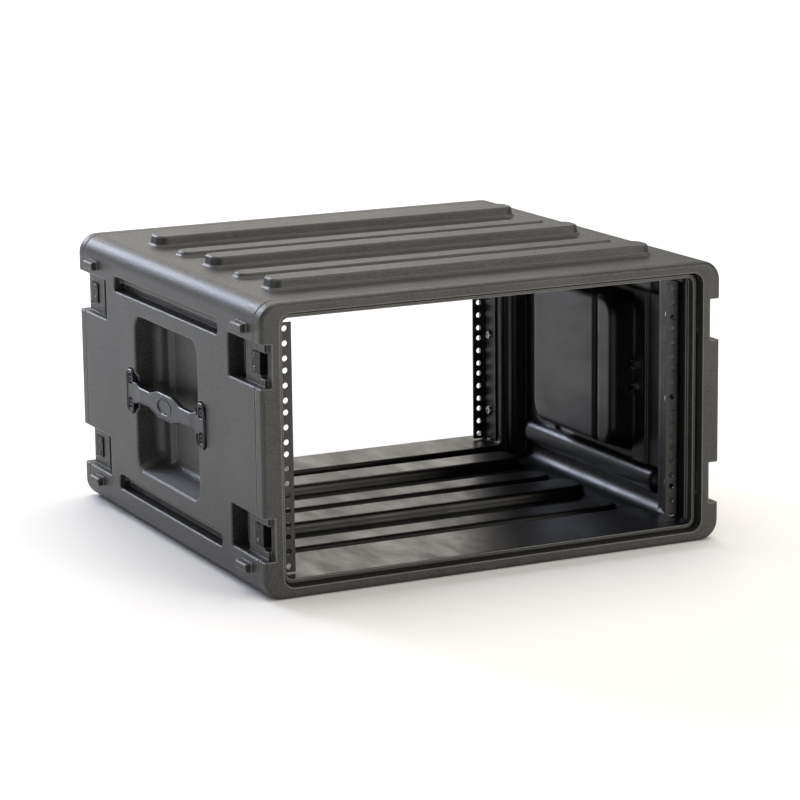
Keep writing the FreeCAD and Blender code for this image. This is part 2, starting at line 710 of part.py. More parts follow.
def rail_screws():
    """The pan-head screws of the front right rail."""
    screws = []
    seat = RAIL_OUTSIDE - RAIL_THICKNESS
    for y, z in rail_screw_places():
        top = seat - PAN_HEAD_HEIGHT
        head = pin(PAN_HEAD, Vector(top, y, z), Vector(1, 0, 0), PAN_HEAD_HEIGHT)
        rim = [edge for edge in head.Edges if len(edge.Vertexes) == 1 and edge.Vertexes[0].X < seat - 1]
        head = head.makeFillet(PAN_HEAD_HEIGHT * 0.6, rim)
        head = head.cut(cross_recess(y, z, top, 1))
        shank = pin(SCREW_DIAMETER, Vector(seat, y, z), Vector(1, 0, 0), RAIL_SCREW_LENGTH)
        screws.append(head.fuse(shank).removeSplitter())
    return Part.makeCompound(screws)


def rail_inserts():
    """The threaded inserts that the front right rail's screws turn into."""
    inserts = []
    for y, z in rail_screw_places():
        start = Vector(OPENING_WIDTH / 2, y, z)
        sleeve = pin(INSERT_DIAMETER, start, Vector(1, 0, 0), INSERT_LENGTH)
        bore_start = Vector(OPENING_WIDTH / 2 - 1, y, z)
        inserts.append(sleeve.cut(pin(INSERT_BORE, bore_start, Vector(1, 0, 0), INSERT_LENGTH + 2)))
    return Part.makeCompound(inserts)


# ---------------------------------------------------------------- strap handles
def strap_outline(start, stop):
    """Half of the strap's outline above its centre line, between two places along it."""
    neck = (GRIP_HALF_LENGTH + GRIP_FULL_HALF_LENGTH) / 2
    knots = ((0, GRIP_HALF_WIDTH), (GRIP_FULL_HALF_LENGTH, GRIP_HALF_WIDTH - GRIP_TAPER),
             (neck + NECK_RUN_IN, NECK_HALF_WIDTH + NECK_RUN_IN_EASE),
             (GRIP_HALF_LENGTH + NECK_RUN_IN, NECK_HALF_WIDTH),
             (GRIP_HALF_LENGTH + NECK_RUN_OUT, NECK_HALF_WIDTH + NECK_RUN_OUT_EASE),
             (PLATE_INNER_EDGE, ROOT_HALF_WIDTH))
    curve = Part.BSplineCurve()
    curve.interpolate([Vector(along, height, 0) for along, height in knots])
    points = []
    for index in range(OUTLINE_POINTS):
        along = start + (stop - start) * index / (OUTLINE_POINTS - 1)
        parameter = curve.parameter(Vector(along, NECK_HALF_WIDTH, 0))
        points.append((along, curve.value(parameter).y))
    return points


def strap_slab(upper):
    """A slab of the strap's thickness whose edge follows the upper outline and its mirror."""
    def edge_curve(sign):
        points = [Vector(HANDLE_SEAT, along, MIDDLE + sign * height) for along, height in upper]
        curve = Part.BSplineCurve()
        curve.interpolate(points)
        return points, curve.toShape()

    top_points, top = edge_curve(1)
    low_points, low = edge_curve(-1)
    first = Part.LineSegment(low_points[0], top_points[0]).toShape()
    last = Part.LineSegment(top_points[-1], low_points[-1]).toShape()
    face = Part.Face(Part.Wire([first, top, last, low]))
    return face.extrude(Vector(HANDLE_THICKNESS, 0, 0))


def handle_grip():
    """The moving middle of the right strap handle."""
    limit = GRIP_HALF_LENGTH - GRIP_PARTING / 2
    half = strap_outline(0, limit)
    full = [(-along, height) for along, height in reversed(half[1:])] + half
    return strap_slab(full)


def handle_end():
    """The rear end of the right strap handle: neck and T-shaped plate."""
    neck = strap_slab(strap_outline(GRIP_HALF_LENGTH + GRIP_PARTING / 2, PLATE_INNER_EDGE))
    x_span = (HANDLE_SEAT, HANDLE_OUTSIDE)
    plate = prism("x", x_span, (PLATE_CENTRE, MIDDLE), (PLATE_WIDTH, PLATE_HEIGHT), PLATE_CORNER)
    end = fuse([neck, plate])
    cuts = []
    for sign in (-1, 1):
        z = MIDDLE + sign * HANDLE_SCREW_SPACING / 2
        hole_start = Vector(HANDLE_SEAT - 1, PLATE_CENTRE, z)
        cuts.append(pin(SCREW_CLEARANCE_HOLE, hole_start, Vector(1, 0, 0), HANDLE_THICKNESS + 2))
        bore_start = Vector(HANDLE_OUTSIDE - COUNTERBORE_DEPTH, PLATE_CENTRE, z)
        cuts.append(pin(COUNTERBORE, bore_start, Vector(1, 0, 0), COUNTERBORE_DEPTH + 1))
    return end.cut(cuts)


def stack_inwards():
    """X faces of the backing plate, the washer and the nut, from the wall inwards."""
    backing = HANDLE_PAD_FACE - BACKING_THICKNESS
    washer = backing - WASHER_THICKNESS
    return backing, washer, washer - NUT_HEIGHT


def handle_screws():
    """The four screws of the right strap handle."""
    seat = HANDLE_OUTSIDE - COUNTERBORE_DEPTH
    end = stack_inwards()[2] - THREAD_PROUD
    screws = []
    for y, z in handle_screw_places():
        head = pin(HANDLE_HEAD, Vector(seat, y, z), Vector(1, 0, 0), HANDLE_HEAD_HEIGHT)
        head = head.cut(cross_recess(y, z, seat + HANDLE_HEAD_HEIGHT, -1))
        shank = pin(SCREW_DIAMETER, Vector(end, y, z), Vector(1, 0, 0), seat - end)
        screws.append(head.fuse(shank).removeSplitter())
    return Part.makeCompound(screws)


def backing_plate():
    """The steel plate inside the case behind the right handle's rear end."""
    backing = stack_inwards()[0]
    centre = (POCKET_LENGTH / 2 + POCKET_WALL + BACKING_GAP + BACKING_WIDTH / 2, MIDDLE)
    plate = prism("x", (backing, HANDLE_PAD_FACE), centre, (BACKING_WIDTH, BACKING_HEIGHT), BACKING_CORNER)
    cuts = []
    for y, z in handle_screw_places()[2:]:
        start = Vector(backing - 1, y, z)
        cuts.append(pin(SCREW_CLEARANCE_HOLE, start, Vector(1, 0, 0), BACKING_THICKNESS + 2))
    return plate.cut(cuts)


def handle_washers():
    """The washers under the right handle's nuts."""
    backing, washer, _ = stack_inwards()
    rings = []
    for y, z in handle_screw_places():
        ring = pin(WASHER_DIAMETER, Vector(washer, y, z), Vector(1, 0, 0), WASHER_THICKNESS)
        bore = pin(SCREW_CLEARANCE_HOLE, Vector(washer - 1, y, z), Vector(1, 0, 0), WASHER_THICKNESS + 2)
        rings.append(ring.cut(bore))
    return Part.makeCompound(rings)


def handle_nuts():
    """The hexagon nuts of the right handle."""
    _, washer, nut = stack_inwards()
    radius = NUT_ACROSS_FLATS / 2 / math.cos(math.radians(30))
    nuts = []
    for y, z in handle_screw_places():
        corners = []
        for index in range(6):
            angle = math.radians(60 * index)
            corners.append((y + radius * math.cos(angle), z + radius * math.sin(angle)))
        body = polygon_bar("x", (nut, washer), corners)
        bore = pin(INSERT_BORE, Vector(nut - 1, y, z), Vector(1, 0, 0), NUT_HEIGHT + 2)
        nuts.append(body.cut(bore))
    return Part.makeCompound(nuts)


# ---------------------------------------------------------------- latch keepers
def keeper(centre_z):
    """A bent steel keeper on the post of a front right latch recess."""
    face = SIDE - LATCH_POST_DEPTH
    start = keeper_start()
    z_span = (centre_z - KEEPER_HEIGHT / 2, centre_z + KEEPER_HEIGHT / 2)
    leg_start = start - KEEPER_LEG_GAP - KEEPER_THICKNESS
    flat = block((face, face + KEEPER_THICKNESS), end_span(leg_start, start + KEEPER_LENGTH), z_span)
    leg = block((face - KEEPER_LEG, face), end_span(leg_start, start - KEEPER_LEG_GAP), z_span)
    cuts = []
    for sign in (-1, 1):
        hole_start = Vector(face - 1, rivet_y(), centre_z + sign * RIVET_SPACING / 2)
        cuts.append(pin(RIVET_DIAMETER + 2 * INSERT_GAP, hole_start, Vector(1, 0, 0), KEEPER_THICKNESS + 2))
    return fuse([flat, leg]).cut(cuts)


def keeper_rivets(centre_z):
    """The two round-head rivets of one keeper."""
    seat = SIDE - LATCH_POST_DEPTH + KEEPER_THICKNESS
    rivets = []
    for sign in (-1, 1):
        z = centre_z + sign * RIVET_SPACING / 2
        shank = pin(RIVET_DIAMETER, Vector(seat - RIVET_LENGTH, rivet_y(), z), Vector(1, 0, 0), RIVET_LENGTH)
        half = RIVET_HEAD / 2
        radius = (half ** 2 + RIVET_HEAD_HEIGHT ** 2) / (2 * RIVET_HEAD_HEIGHT)
        ball = Part.makeSphere(radius, Vector(seat + RIVET_HEAD_HEIGHT - radius, rivet_y(), z))
        cap_zone = pin(RIVET_HEAD + 1, Vector(seat, rivet_y(), z), Vector(1, 0, 0), RIVET_HEAD_HEIGHT)
        cap = ball.common(cap_zone)
        rivets.append(shank.fuse(cap).removeSplitter())
    return rivets


# ---------------------------------------------------------------- all nodes
def all_nodes():
    """Every named piece of the case with its shape."""
    nodes = {"case_shell": case_shell()}
    ends = (("front", 1), ("rear", -1))
    sides = (("right", 1), ("left", -1))
    levels = (("lower", latch_centres()[0]), ("upper", latch_centres()[1]))
    for end_name, end_sign in ends:
        nodes["rim_seal_" + end_name] = mirrored(rim_seal(), side_y=end_sign)
    for side_name, side_sign in sides:
        for end_name, end_sign in ends:
            place = end_name + "_" + side_name
            nodes["rail_" + place] = mirrored(rail(), side_sign, end_sign)
            nodes["rail_screws_" + place] = mirrored(rail_screws(), side_sign, end_sign)
            nodes["rail_inserts_" + place] = mirrored(rail_inserts(), side_sign, end_sign)
            nodes["handle_end_" + place] = mirrored(handle_end(), side_sign, -end_sign)
            nodes["handle_backing_plate_" + place] = mirrored(backing_plate(), side_sign, -end_sign)
            rivets = []
            for level_name, centre_z in levels:
                name = "latch_keeper_" + place + "_" + level_name
                nodes[name] = mirrored(keeper(centre_z), side_sign, end_sign)
                rivets += keeper_rivets(centre_z)
            nodes["keeper_rivets_" + place] = mirrored(Part.makeCompound(rivets), side_sign, end_sign)
        nodes["handle_grip_" + side_name] = mirrored(handle_grip(), side_sign)
        nodes["handle_screws_" + side_name] = mirrored(handle_screws(), side_sign)
        nodes["handle_washers_" + side_name] = mirrored(handle_washers(), side_sign)
        nodes["handle_nuts_" + side_name] = mirrored(handle_nuts(), side_sign)
    return nodes


def write_nodes():
    """One STEP file for each named piece."""
    os.makedirs("parts", exist_ok=True)
    for name, shape in all_nodes().items():
        shape.exportStep(os.path.join("parts", name + ".step"))
        box = shape.BoundBox
        print("%-34s solids %2d valid %s volume %10.1f box %7.1f %7.1f %7.1f" % (
            name, len(shape.Solids), shape.isValid(), shape.Volume, box.XLength, box.YLength, box.ZLength))


write_nodes()
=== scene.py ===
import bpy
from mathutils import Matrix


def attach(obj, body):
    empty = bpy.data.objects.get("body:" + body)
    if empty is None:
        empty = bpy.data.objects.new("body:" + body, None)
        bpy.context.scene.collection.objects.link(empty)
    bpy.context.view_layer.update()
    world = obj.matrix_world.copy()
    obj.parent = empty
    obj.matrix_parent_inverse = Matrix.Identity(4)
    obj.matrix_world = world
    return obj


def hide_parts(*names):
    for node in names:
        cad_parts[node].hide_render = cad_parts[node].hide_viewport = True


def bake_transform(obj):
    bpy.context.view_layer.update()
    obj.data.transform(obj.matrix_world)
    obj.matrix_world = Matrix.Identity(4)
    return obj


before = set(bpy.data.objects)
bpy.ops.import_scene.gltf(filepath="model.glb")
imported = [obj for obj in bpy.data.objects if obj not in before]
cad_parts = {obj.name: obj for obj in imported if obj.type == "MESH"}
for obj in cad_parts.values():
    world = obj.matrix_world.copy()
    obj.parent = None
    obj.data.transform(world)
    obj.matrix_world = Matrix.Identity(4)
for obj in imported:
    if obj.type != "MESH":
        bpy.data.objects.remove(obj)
"""Looks of a moulded rack case: one shell, steel rails, strap handles and their hardware. Metres."""
import logging
import math
from dataclasses import dataclass, field
from enum import Enum
from typing import Any

import bmesh
import bpy
import numpy as np
from mathutils import Matrix, Vector

LOG = logging.getLogger("rack_case")
MM = 0.001
SAME_POINT = 1e-6        # points closer than this, in metres, are one point
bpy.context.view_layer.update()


class Side(Enum):
    """The two sides of the case, with the sign of their X."""

    RIGHT = 1
    LEFT = -1

    @property
    def label(self) -> str:
        """The side's name as the nodes spell it.

        Returns:
            The name in lower case.
        """
        return self.name.lower()


class End(Enum):
    """The two open ends of the case, with the sign of their Y."""

    FRONT = -1
    REAR = 1

    @property
    def label(self) -> str:
        """The end's name as the nodes spell it.

        Returns:
            The name in lower case.
        """
        return self.name.lower()


# ------------------------------------------------------------------ small helpers
def linear(hex_colour: str) -> tuple[float, float, float, float]:
    """Turn an sRGB hex colour into linear red, green, blue and alpha.

    Args:
        hex_colour: six hex digits, such as "2b2b2c".

    Returns:
        The linear colour with alpha 1.
    """
    parts = [int(hex_colour[i:i + 2], 16) / 255 for i in (0, 2, 4)]
    values = [c / 12.92 if c <= 0.04045 else ((c + 0.055) / 1.055) ** 2.4 for c in parts]
    return (values[0], values[1], values[2], 1.0)


def add_node(tree: bpy.types.NodeTree, kind: str, settings: dict[str, Any] | None = None,
             inputs: dict[str | int, Any] | None = None) -> bpy.types.Node:
    """Add one shader node with its settings, socket values and links.

    Args:
        tree: the material's node tree.
        kind: the node's type name.
        settings: properties of the node by name.
        inputs: socket name or index to a value, or to an output socket to link from.

    Returns:
        The new node.
    """
    node = tree.nodes.new(kind)
    for name, value in (settings or {}).items():
        setattr(node, name, value)
    for key, value in (inputs or {}).items():
        if isinstance(value, bpy.types.NodeSocket):
            tree.links.new(value, node.inputs[key])
        else:
            node.inputs[key].default_value = value
    return node


def new_material(name: str) -> tuple[bpy.types.Material, bpy.types.NodeTree]:
    """Start an empty node material.

    Args:
        name: the material's name.

    Returns:
        The material and its cleared node tree.
    """
    material = bpy.data.materials.new(name)
    material.use_nodes = True
    material.node_tree.nodes.clear()
    return material, material.node_tree


def grain(tree: bpy.types.NodeTree, size_mm: float, detail: float = 2.0, roughness: float = 0.5,
          stretch: tuple[float, float, float] = (1.0, 1.0, 1.0)) -> bpy.types.NodeSocket:
    """Add a noise pattern on Object coordinates.

    Args:
        tree: the material's node tree.
        size_mm: the size of one grain in millimetres.
        detail: how many finer layers the noise has.
        roughness: how strong the finer layers are.
        stretch: scale of the pattern along X, Y and Z.

    Returns:
        The noise value's socket.
    """
    place = add_node(tree, "ShaderNodeTexCoord")
    mapping = add_node(tree, "ShaderNodeMapping", None, {
        "Vector": place.outputs["Object"], "Scale": stretch})
    noise = add_node(tree, "ShaderNodeTexNoise", None, {
        "Vector": mapping.outputs["Vector"], "Scale": 1 / (size_mm * MM),
        "Detail": detail, "Roughness": roughness})
    return noise.outputs["Fac"]


def ramp(tree: bpy.types.NodeTree, value: bpy.types.NodeSocket, low: float, high: float,
         out_low: float, out_high: float) -> bpy.types.NodeSocket:
    """Map a value from one range to another.

    Args:
        tree: the material's node tree.
        value: the socket to map.
        low: start of the input range.
        high: end of the input range.
        out_low: result at the start.
        out_high: result at the end.

    Returns:
        The mapped value's socket.
    """
    node = add_node(tree, "ShaderNodeMapRange", {"clamp": True}, {
        "Value": value, "From Min": low, "From Max": high, "To Min": out_low, "To Max": out_high})
    return node.outputs["Result"]


def mix_colour(tree: bpy.types.NodeTree, share: bpy.types.NodeSocket | float, first: Any,
               second: Any) -> bpy.types.NodeSocket:
    """Blend two colours.

    Args:
        tree: the material's node tree.
        share: how much of the second colour shows, 0 to 1.
        first: a colour or a colour socket.
        second: a colour or a colour socket.

    Returns:
        The blended colour's socket.
    """
    node = add_node(tree, "ShaderNodeMix", {"data_type": "RGBA"}, {0: share, 6: first, 7: second})
    return node.outputs[2]


def finish_surface(tree: bpy.types.NodeTree, inputs: dict[str, Any]) -> None:
    """End a material with its surface shader.

    Args:
        tree: the material's node tree.
        inputs: the shader's inputs by name.
    """
    shader = add_node(tree, "ShaderNodeBsdfPrincipled", None, inputs)
    add_node(tree, "ShaderNodeOutputMaterial", None, {"Surface": shader.outputs["BSDF"]})


# ------------------------------------------------------------------ finishes
@dataclass(frozen=True)
class MouldedPolyethylene:
    """Rotationally moulded polyethylene, black through and through.

    The mould's blasted face gives it a fine pebble that scatters light into a soft grey sheen, and
    the moulding leaves faint cloudy patches. A pale grey is painted along every edge, concave creases
    too: a painted highlight, with some rubbed wear on the convex edges.

    Attributes:
        colour: base colour.
        worn: the greyer colour of scuffed patches.
        rubbed: the pale grey painted along every edge: a painted highlight, with some wear rubbed by
            handling.
        pebble_mm: size of one pebble; the real 0.5 mm grain is drawn coarser so that it shows.
        pebble_height_mm: height of a pebble.
        edge_round_mm: radius that every moulded edge is softened to.
        rub_reach: how many rounding radii from an edge the painted highlight and rubbing reach.
        cloud_mm: size of the cloudy patches.
        speck_mm: size of the paler specks.
        cover: how far the worn colour covers a patch or a speck.
        roughness: the mean roughness.
        index: index of refraction.
    """

    colour: str = "1b1b1a"
    worn: str = "3c3c3a"
    rubbed: str = "7c7c79"
    pebble_mm: float = 2.0
    pebble_height_mm: float = 0.55
    edge_round_mm: float = 1.6
    rub_reach: float = 1.8
    cloud_mm: float = 90.0
    speck_mm: float = 1.8
    cover: float = 0.55
    roughness: float = 0.45
    index: float = 1.5

    def material(self) -> bpy.types.Material:
        """Build the material.

        Returns:
            The new material.
        """
        made, tree = new_material("moulded_polyethylene")
        cloud = grain(tree, self.cloud_mm, 3.0, 0.6)
        fine = grain(tree, self.pebble_mm, 2.0, 0.55)
        speck = grain(tree, self.speck_mm, 1.0, 0.5)
        patches = ramp(tree, cloud, 0.4, 0.75, 0.0, self.cover)
        specks = ramp(tree, speck, 0.45, 0.62, 0.0, self.cover)
        colour = mix_colour(tree, patches, linear(self.colour), linear(self.worn))
        colour = mix_colour(tree, specks, colour, linear(self.worn))
        rough = ramp(tree, fine, 0.3, 0.7, self.roughness - 0.06, self.roughness + 0.08)
        soft = add_node(tree, "ShaderNodeBevel", {"samples": 6}, {"Radius": self.edge_round_mm * MM})
        wide = add_node(tree, "ShaderNodeBevel", {"samples": 6}, {
            "Radius": self.rub_reach * self.edge_round_mm * MM})
        flat = add_node(tree, "ShaderNodeNewGeometry").outputs["Normal"]
        likeness = add_node(tree, "ShaderNodeVectorMath", {"operation": "DOT_PRODUCT"}, {
            0: wide.outputs["Normal"], 1: flat}).outputs["Value"]
        # A pale grey painted along every edge, concave creases too: a painted highlight, with some rubbed
        # wear on the convex edges.
        rub_and_highlight_mask = ramp(tree, likeness, 0.80, 0.99, 0.9, 0.0)
        colour = mix_colour(tree, rub_and_highlight_mask, colour, linear(self.rubbed))
        bump = add_node(tree, "ShaderNodeBump", None, {
            "Strength": 0.8, "Distance": self.pebble_height_mm * MM, "Height": fine,
            "Normal": soft.outputs["Normal"]})
        finish_surface(tree, {
            "Base Color": colour, "Roughness": rough, "IOR": self.index, "Normal": bump.outputs["Normal"]})
        return made


@dataclass(frozen=True)
class MouldedInnerSkin:
    """The inside face of rotationally moulded polyethylene.

    It never touches the mould, so it sets glossy and slightly wavy, without the pebble. Its colour is
    darker than the outer face's: painted shade inside the case.

    Attributes:
        colour: base colour, darker than the outer face's as painted shade.
        dull: the colour of dusty patches.
        wave_mm: size of the waves.
        wave_height_mm: height of the waves.
        dust_mm: size of the dusty patches.
        edge_round_mm: radius that edges are softened to.
        roughness: the mean roughness.
        index: index of refraction.
    """

    # Darker than the outer face's 1b1b1a: painted shade inside the case, not a different plastic.
    colour: str = "0e0e0e"
    dull: str = "181817"
    wave_mm: float = 34.0
    wave_height_mm: float = 0.6
    dust_mm: float = 30.0
    edge_round_mm: float = 6.0
    roughness: float = 0.34
    index: float = 1.38

    def material(self) -> bpy.types.Material:
        """Build the material.

        Returns:
            The new material.
        """
        made, tree = new_material("moulded_inner_skin")
        wave = grain(tree, self.wave_mm, 2.0, 0.5)
        dust = grain(tree, self.dust_mm, 4.0, 0.65, (1.0, 0.35, 1.0))
        patches = ramp(tree, dust, 0.45, 0.75, 0.0, 0.9)
        colour = mix_colour(tree, patches, linear(self.colour), linear(self.dull))
        rough = ramp(tree, dust, 0.3, 0.75, self.roughness - 0.06, self.roughness + 0.14)
        soft = add_node(tree, "ShaderNodeBevel", {"samples": 6}, {"Radius": self.edge_round_mm * MM})
        bump = add_node(tree, "ShaderNodeBump", None, {
            "Strength": 0.4, "Distance": self.wave_height_mm * MM, "Height": wave,
            "Normal": soft.outputs["Normal"]})
        finish_surface(tree, {
            "Base Color": colour, "Roughness": rough, "IOR": self.index, "Normal": bump.outputs["Normal"]})
        return made


@dataclass(frozen=True)
class PowderCoat:
    """Black powder coat on folded steel: a tight orange peel under a low gloss.

    Attributes:
        colour: base colour.
        dusty: the colour of dusty patches.
        roughness: the mean roughness.
        peel_mm: size of the orange peel.
        peel_height_mm: height of the orange peel.
        dust_mm: size of the dusty patches.
        index: index of refraction.
    """

    colour: str = "0c0c0b"
    dusty: str = "262521"
    roughness: float = 0.42
    peel_mm: float = 1.6
    peel_height_mm: float = 0.3
    dust_mm: float = 14.0
    index: float = 1.52

    def material(self) -> bpy.types.Material:
        """Build the material.

        Returns:
            The new material.
        """
        made, tree = new_material("black_powder_coat")
        peel = grain(tree, self.peel_mm, 1.0, 0.4)
        dust = grain(tree, self.dust_mm, 3.0, 0.6)
        patches = ramp(tree, dust, 0.45, 0.75, 0.0, 0.8)
        colour = mix_colour(tree, patches, linear(self.colour), linear(self.dusty))
        rough = ramp(tree, dust, 0.3, 0.7, self.roughness - 0.05, self.roughness + 0.1)
        bump = add_node(tree, "ShaderNodeBump", None, {
            "Strength": 0.5, "Distance": self.peel_height_mm * MM, "Height": peel})
        finish_surface(tree, {
            "Base Color": colour, "Roughness": rough, "IOR": self.index, "Normal": bump.outputs["Normal"]})
        return made


@dataclass(frozen=True)
class PlatedSteel:
    """Zinc-plated or darkened steel with faint scratches.

    Attributes:
        name: the material's name.
        colour: base colour.
        stain: the duller colour of handled patches.
        roughness: the mean roughness.
        patch_mm: size of the duller patches.
        scratch_mm: spacing of the fine scratches.
        scratch_depth_mm: depth of a scratch.
    """

    name: str
    colour: str
    stain: str
    roughness: float
    patch_mm: float = 6.0
    scratch_mm: float = 0.5
    scratch_depth_mm: float = 0.02

    def material(self) -> bpy.types.Material:
        """Build the material.

        Returns:
            The new material.
        """
        made, tree = new_material(self.name)
        patch = grain(tree, self.patch_mm, 3.0, 0.6)
        scratch = grain(tree, self.scratch_mm, 2.0, 0.5, (1.0, 1.0, 0.12))
        stains = ramp(tree, patch, 0.4, 0.7, 0.0, 1.0)
        colour = mix_colour(tree, stains, linear(self.colour), linear(self.stain))
        rough = ramp(tree, scratch, 0.3, 0.7, self.roughness - 0.08, self.roughness + 0.1)
        bump = add_node(tree, "ShaderNodeBump", None, {
            "Strength": 0.2, "Distance": self.scratch_depth_mm * MM, "Height": scratch})
        finish_surface(tree, {
            "Base Color": colour, "Metallic": 1.0, "Roughness": rough, "Normal": bump.outputs["Normal"]})
        return made


@dataclass(frozen=True)
class FlexiblePolymer:
    """Soft moulded polymer: rubber for a seal, or a smooth strap with a low sheen.

    Attributes:
        name: the material's name.
        colour: base colour.
        bloom: the paler colour of bloom and handling.
        roughness: the mean roughness.
        texture_mm: size of the surface texture.
        texture_height_mm: height of the surface texture.
        patch_mm: size of the bloomed patches.
        index: index of refraction.
    """

    name: str
    colour: str
    bloom: str
    roughness: float
    texture_mm: float
    texture_height_mm: float = 0.05
    patch_mm: float = 18.0
    index: float = 1.36

    def material(self) -> bpy.types.Material:
        """Build the material.

        Returns:
            The new material.
        """
        made, tree = new_material(self.name)
        patch = grain(tree, self.patch_mm, 3.0, 0.6)
        fine = grain(tree, self.texture_mm, 2.0, 0.5)
        bloomed = ramp(tree, patch, 0.4, 0.75, 0.0, 0.8)
        colour = mix_colour(tree, bloomed, linear(self.colour), linear(self.bloom))
        rough = ramp(tree, fine, 0.3, 0.7, self.roughness - 0.06, self.roughness + 0.06)
        bump = add_node(tree, "ShaderNodeBump", None, {
            "Strength": 0.25, "Distance": self.texture_height_mm * MM, "Height": fine})
        finish_surface(tree, {
            "Base Color": colour, "Roughness": rough, "IOR": self.index, "Normal": bump.outputs["Normal"]})
        return made


@dataclass
class Finishes:
    """Every finish of the case, built once."""

    shell: bpy.types.Material = field(default_factory=lambda: MouldedPolyethylene().material())
    # The inside finish is darker than the shell's: painted shade inside the case.
    inner_skin: bpy.types.Material = field(default_factory=lambda: MouldedInnerSkin().material())
    powder: bpy.types.Material = field(default_factory=lambda: PowderCoat().material())
    zinc: bpy.types.Material = field(
        default_factory=lambda: PlatedSteel("zinc_plate", "c4c4c0", "9a9a96", 0.28).material())
    dark_steel: bpy.types.Material = field(
        default_factory=lambda: PlatedSteel("dark_plated_steel", "26221f", "181615", 0.45).material())
    rivet: bpy.types.Material = field(
        default_factory=lambda: PlatedSteel("darkened_rivet_steel", "6a6661", "3a3734", 0.38).material())
    black_oxide: bpy.types.Material = field(
        default_factory=lambda: PlatedSteel("black_oxide_steel", "2c2c2e", "1c1c1e", 0.4).material())
    brass: bpy.types.Material = field(
        default_factory=lambda: PlatedSteel("turned_brass", "b08d4a", "8a6c38", 0.35).material())
    strap: bpy.types.Material = field(
        default_factory=lambda: FlexiblePolymer("strap_polymer", "0d1016", "191d25", 0.36, 0.9).material())
    seal: bpy.types.Material = field(
        default_factory=lambda: FlexiblePolymer("seal_rubber", "0c0c0c", "161616", 0.6, 0.8).material())


def dress(node: str, material: bpy.types.Material) -> None:
    """Give a carried-over node its finish.

    Args:
        node: the node's name.
        material: the finish.
    """
    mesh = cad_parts[node].data
    mesh.materials.clear()
    mesh.materials.append(material)


# ------------------------------------------------------------------ meshes
def surface(name: str, points: np.ndarray, material: bpy.types.Material,
            wrap: bool = False) -> bpy.types.Object:
    """Make a smooth mesh from a grid of points.

    Four neighbours in the grid, (r, c), (r, c + 1), (r + 1, c + 1) and (r + 1, c), make one face.

    Args:
        name: the piece's name.
        points: array of shape (rows, columns, 3) in metres.
        material: the finish.
        wrap: join the last column to the first.

    Returns:
        The new object, at the origin.
    """
    rows, columns = points.shape[:2]
    index = np.arange(rows * columns).reshape(rows, columns)
    if wrap:
        index = np.hstack([index, index[:, :1]])
    quads = np.stack([index[:-1, :-1], index[:-1, 1:], index[1:, 1:], index[1:, :-1]], -1).reshape(-1, 4)
    mesh = bpy.data.meshes.new(name)
    mesh.from_pydata(points.reshape(-1, 3).tolist(), [], quads.tolist())
    mesh.polygons.foreach_set("use_smooth", np.ones(len(mesh.polygons), bool))
    mesh.materials.append(material)
    mesh.update()
    made = bpy.data.objects.new(name, mesh)
    bpy.context.scene.collection.objects.link(made)
    return made


def smooth(low: float, high: float, value: np.ndarray) -> np.ndarray:
    """Ease from 0 at one value to 1 at another, in either direction: 3t^2 - 2t^3.

    Args:
        low: the value that gives 0.
        high: the value that gives 1.
        value: the values.

    Returns:
        The eased values.
    """
    t = np.clip((value - low) / (high - low), 0, 1)
    return t * t * (3 - 2 * t)


def close_and_orient(made: bpy.types.Object) -> None:
    """Merge doubled points and turn every face outwards.

    Args:
        made: the object whose mesh is finished.
    """
    sketch = bmesh.new()
    sketch.from_mesh(made.data)
    bmesh.ops.remove_doubles(sketch, verts=sketch.verts, dist=SAME_POINT)
    bmesh.ops.recalc_face_normals(sketch, faces=sketch.faces)
    for face in sketch.faces:
        face.smooth = True
    sketch.to_mesh(made.data)
    sketch.free()


